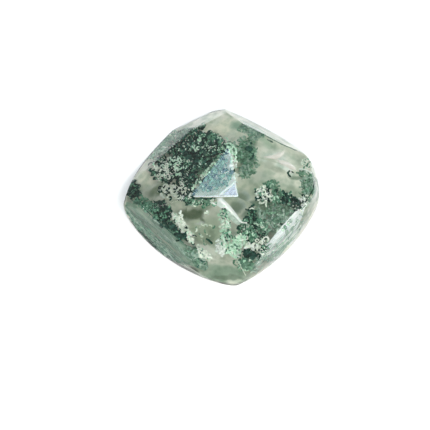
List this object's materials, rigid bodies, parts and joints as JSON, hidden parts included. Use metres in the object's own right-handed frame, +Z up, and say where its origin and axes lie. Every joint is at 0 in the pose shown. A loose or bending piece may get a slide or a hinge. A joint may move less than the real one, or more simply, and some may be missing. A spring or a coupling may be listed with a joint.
{
  "type": "faceted moss agate stone",
  "caption": "Loose cushion-shaped faceted moss agate with a small triangular table, wide crown facets, steep side facets and a flat back to rest on or set in a bezel.",
  "frame": {"origin": "middle of the flat back, under the middle of the stone's box", "axes": "+Z up, out of the table; +X towards the right side, along the stone's longest extent; +Y towards the back side"},
  "size_m": [0.0104, 0.0098, 0.003],
  "materials": {
    "agate": "polished"
  },
  "bodies": {
    "root": {"stone": "agate"}
  },
  "joints": []
}
